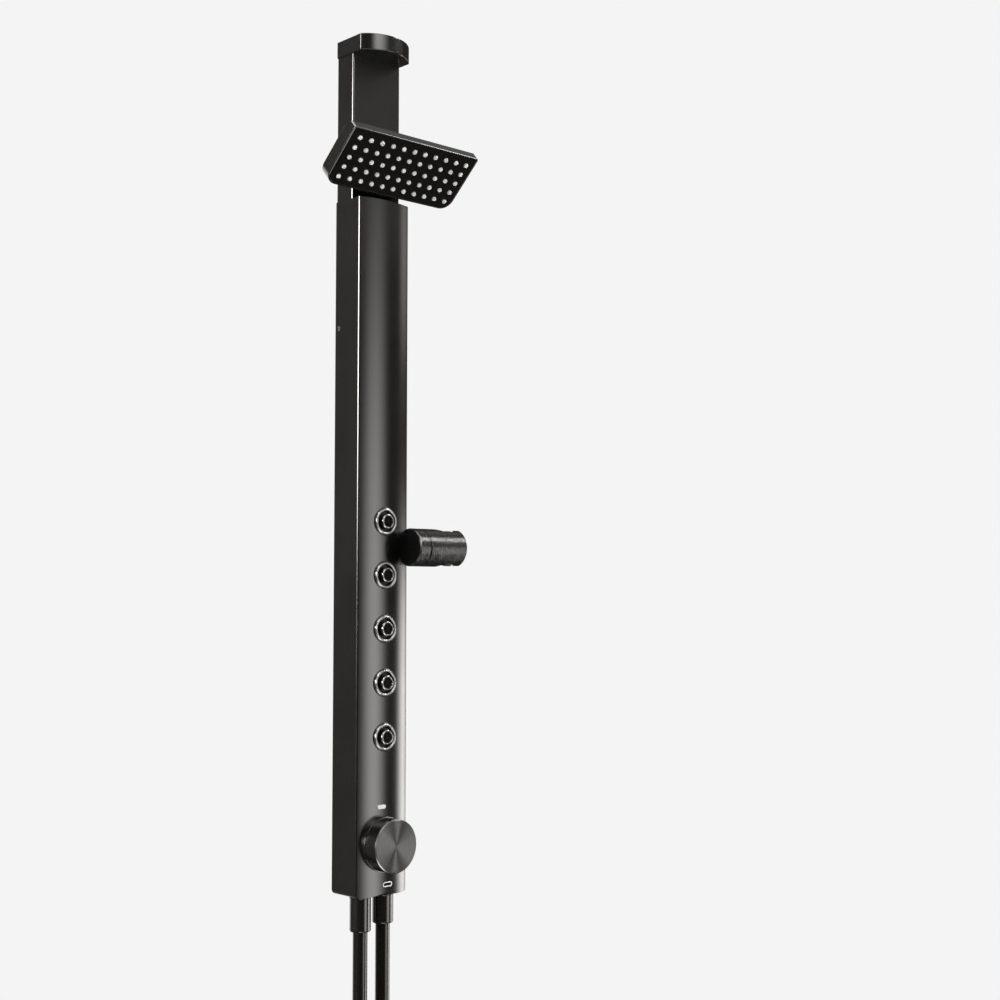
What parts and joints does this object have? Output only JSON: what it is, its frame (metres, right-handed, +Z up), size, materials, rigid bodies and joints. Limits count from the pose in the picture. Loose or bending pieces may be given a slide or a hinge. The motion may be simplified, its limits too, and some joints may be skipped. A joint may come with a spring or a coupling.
{
  "type": "shower column",
  "caption": "Slim wall-hung shower column with a tilting flat rain head, a row of swivelling body jets, a swivelling handset holder, a round mixer knob and hanging supply hoses.",
  "frame": {"origin": "middle of the upper bracket's two wall screws, on the wall face", "axes": "+X to the right of someone facing the column, +Y into the wall, +Z up"},
  "size_m": [0.187, 0.1078, 1.5146],
  "materials": {
    "satin_black": "satin black powder coat on extruded aluminium",
    "cap_black": "satin black, faintly brushed",
    "polished_metal": "polished metal",
    "raw_brass": "cast and turned, unplated",
    "grey_pipe": "moulded grey plastic",
    "zinc_steel": "zinc-plated steel",
    "black_rubber": "black rubber",
    "grey_silicone": "light grey silicone",
    "dark_plastic": "moulded black plastic",
    "brushed_black": "black, spun-brushed face",
    "white_print": "plain white inlay",
    "hose_black": "smooth black outer tube",
    "nut_black": "satin black coupling nut",
    "head_black": "satin black moulding",
    "face_black": "black spray face",
    "cup_metal": "dark polished metal"
  },
  "bodies": {
    "column": {"column_housing": "satin_black", "upper_housing": "satin_black", "shoulder_plate": "cap_black", "top_cap": "cap_black", "foot_cap": "satin_black", "upper_bracket": "zinc_steel", "lower_bracket": "zinc_steel", "hanger_bar": "zinc_steel", "side_screws": "polished_metal", "head_mount": "dark_plastic", "head_mount_nut": "raw_brass", "pivot_bolt": "zinc_steel", "pivot_nut": "zinc_steel", "pivot_washers": "black_rubber", "riser_manifold": "grey_pipe", "head_feed_pipe": "grey_pipe", "jet_sockets": "dark_plastic", "jet_nuts": "raw_brass", "valve_body": "raw_brass", "cartridge": "grey_pipe", "cartridge_nut": "raw_brass", "knob_trim": "cap_black", "inlet_tails": "raw_brass", "inlet_locknuts": "raw_brass", "holder_base": "satin_black", "holder_nut": "raw_brass", "holder_washer": "black_rubber", "holder_axle": "zinc_steel", "upper_mark": "white_print", "lower_mark": "white_print", "hose_nut_left": "nut_black", "hose_nut_right": "nut_black", "supply_hose_left": "hose_black", "supply_hose_right": "hose_black", "hose_end_nut_left": "nut_black", "hose_end_nut_right": "nut_black", "jet_bezel_1": "polished_metal", "jet_bezel_2": "polished_metal", "jet_bezel_3": "polished_metal", "jet_bezel_4": "polished_metal", "jet_bezel_5": "polished_metal"},
    "head": {"head_shell": "head_black", "nozzle_mat": "grey_silicone", "head_face_plate": "face_black", "head_swivel": "dark_plastic", "head_screws": "zinc_steel"},
    "knob": {"knob": "brushed_black", "spindle": "raw_brass", "knob_set_screw": "zinc_steel"},
    "holder": {"holder_arm": "satin_black"},
    "jet_1": {"jet_cup_1": "cup_metal", "jet_spray_disc_1": "black_rubber"},
    "jet_2": {"jet_cup_2": "cup_metal", "jet_spray_disc_2": "black_rubber"},
    "jet_3": {"jet_cup_3": "cup_metal", "jet_spray_disc_3": "black_rubber"},
    "jet_4": {"jet_cup_4": "cup_metal", "jet_spray_disc_4": "black_rubber"},
    "jet_5": {"jet_cup_5": "cup_metal", "jet_spray_disc_5": "black_rubber"}
  },
  "joints": [
    {"name": "head_tilt", "type": "hinge", "parent": "column", "child": "head", "pos_m": [0, -0.0425, -0.099], "axis": [1, 0, 0], "range_deg": [-14, 42]},
    {"name": "knob_turn", "type": "hinge", "parent": "column", "child": "knob", "pos_m": [0, -0.06, -0.872], "axis": [0, -1, 0], "range_deg": [0, 120]},
    {"name": "holder_swivel", "type": "hinge", "parent": "column", "child": "holder", "pos_m": [0.04, -0.0723, -0.532], "axis": [1, 0, 0], "range_deg": [-45, 45]},
    {"name": "jet_1_aim", "type": "hinge", "parent": "column", "child": "jet_1", "pos_m": [0, -0.0405, -0.502], "axis": [1, 0, 0], "range_deg": [-12, 12]},
    {"name": "jet_2_aim", "type": "hinge", "parent": "column", "child": "jet_2", "pos_m": [0, -0.0405, -0.564], "axis": [1, 0, 0], "range_deg": [-12, 12]},
    {"name": "jet_3_aim", "type": "hinge", "parent": "column", "child": "jet_3", "pos_m": [0, -0.0405, -0.626], "axis": [1, 0, 0], "range_deg": [-12, 12]},
    {"name": "jet_4_aim", "type": "hinge", "parent": "column", "child": "jet_4", "pos_m": [0, -0.0405, -0.688], "axis": [1, 0, 0], "range_deg": [-12, 12]},
    {"name": "jet_5_aim", "type": "hinge", "parent": "column", "child": "jet_5", "pos_m": [0, -0.0405, -0.75], "axis": [1, 0, 0], "range_deg": [-12, 12]}
  ]
}
